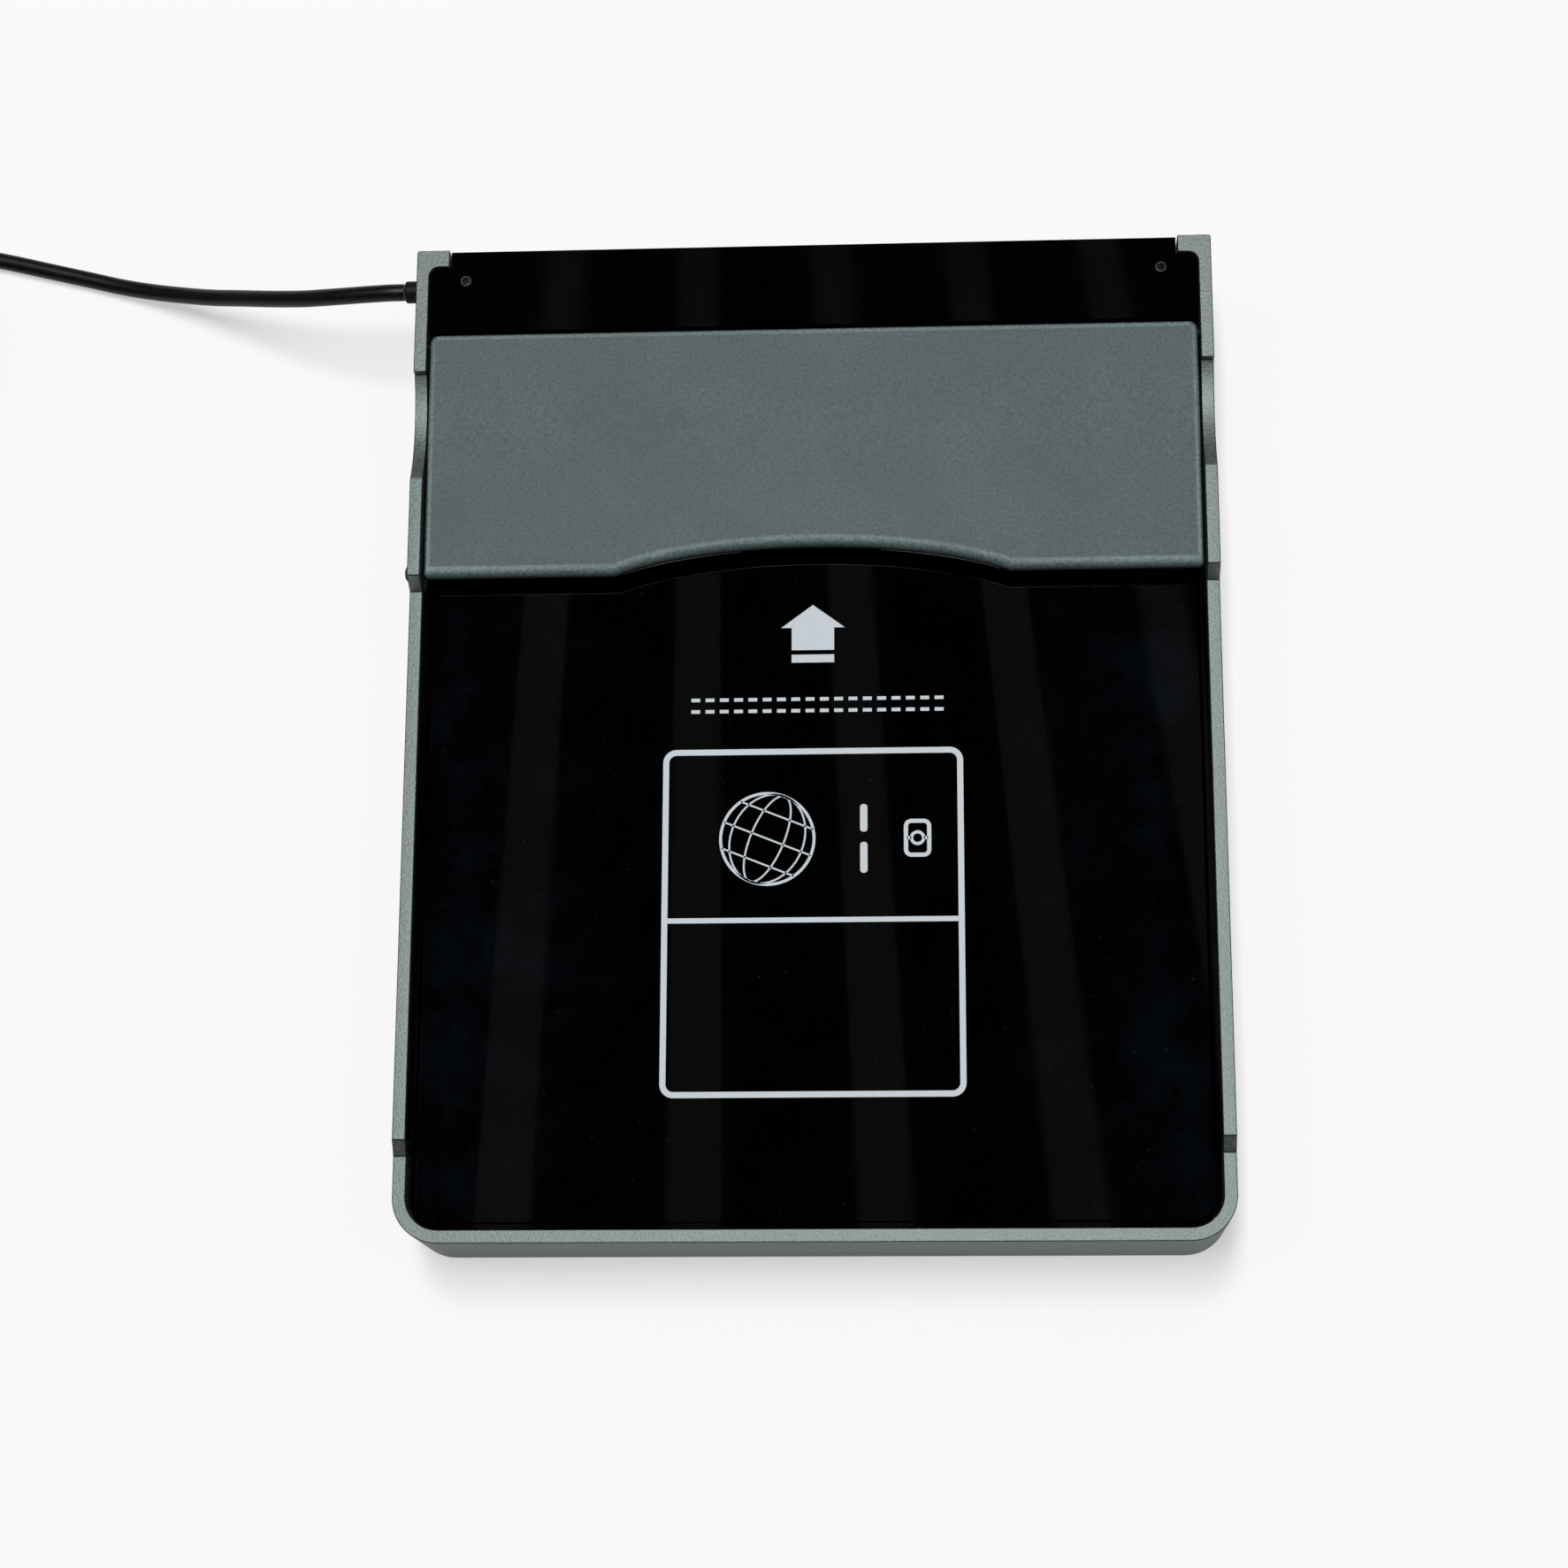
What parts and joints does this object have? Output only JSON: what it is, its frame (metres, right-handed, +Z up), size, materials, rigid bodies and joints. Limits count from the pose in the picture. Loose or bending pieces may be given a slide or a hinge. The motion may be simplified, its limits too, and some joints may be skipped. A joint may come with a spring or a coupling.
{
  "type": "passport reader",
  "caption": "Flat desktop passport reader: black glass bed between grey rails, hinged cover flap over the scanning slot, side push button, and a cord with coil and USB plug.",
  "frame": {"origin": "on the surface that the reader stands on, under the middle of its overall width (cord collar and side button included) and of its length", "axes": "+X to the right seen from the front bar, +Y from the front bar to the rear edge, +Z up"},
  "size_m": [0.3143, 0.2136, 0.0313],
  "materials": {
    "frame_grey": "satin",
    "cover_grey": "fine grain",
    "housing_black": "gloss",
    "lining_black": "gloss",
    "glass_black": "polished",
    "base_black": "matt",
    "foot_rubber": "matt",
    "cord_black": "satin",
    "tape_black": "matt",
    "steel": "satin",
    "board_green": "satin",
    "chip_black": "matt",
    "mirror_silver": "polished",
    "plastic_white": "satin",
    "lens_clear": "polished"
  },
  "bodies": {
    "reader": {"outer_frame": "frame_grey", "inner_housing": "housing_black", "document_glass": "glass_black", "glass_tape": "tape_black", "hinge_pin_left": "steel", "hinge_pin_right": "steel", "base_plate": "base_black", "foot_front_left": "foot_rubber", "foot_front_right": "foot_rubber", "foot_rear_left": "foot_rubber", "foot_rear_right": "foot_rubber", "base_screw_front_left": "steel", "base_screw_front_right": "steel", "base_screw_rear_left": "steel", "base_screw_rear_right": "steel", "button_switch": "chip_black", "switch_board": "board_green", "indicator_lens_left": "lens_clear", "indicator_lens_right": "lens_clear", "indicator_board_left": "board_green", "indicator_board_right": "board_green", "main_board": "board_green", "processor": "chip_black", "memory_chip_left": "chip_black", "memory_chip_right": "chip_black", "radio_chip": "chip_black", "cable_header": "plastic_white", "sounder": "chip_black", "board_screw_1": "steel", "board_screw_2": "steel", "board_screw_3": "steel", "board_screw_4": "steel", "mirror": "mirror_silver", "mirror_holder_left": "base_black", "mirror_holder_right": "base_black", "camera_bracket": "base_black", "camera_barrel": "chip_black", "camera_lens": "lens_clear", "camera_board": "board_green", "light_board_front": "plastic_white", "light_guide_front": "lens_clear", "light_board_rear": "plastic_white", "light_guide_rear": "lens_clear", "antenna_board": "board_green", "document_sensor": "chip_black", "cord_collar": "cord_black", "inner_lead": "cord_black", "cord_tube": "cord_black", "cord_coil": "cord_black", "coil_tie": "tape_black", "usb_plug_body": "cord_black", "usb_plug_shell": "steel", "usb_plug_tongue": "plastic_white"},
    "cover": {"cover_shell": "cover_grey", "cover_lining": "lining_black"},
    "button": {"side_button": "lining_black"}
  },
  "joints": [
    {"name": "cover_hinge", "type": "hinge", "parent": "reader", "child": "cover", "pos_m": [0.0016, 0.0779, 0.02895], "axis": [-1, 0, 0], "range_deg": [0, 105]},
    {"name": "side_button_press", "type": "slide", "parent": "reader", "child": "button", "axis": [1, 0, 0], "range_m": [0, 0.0006], "stiffness_N_per_m": 200}
  ]
}
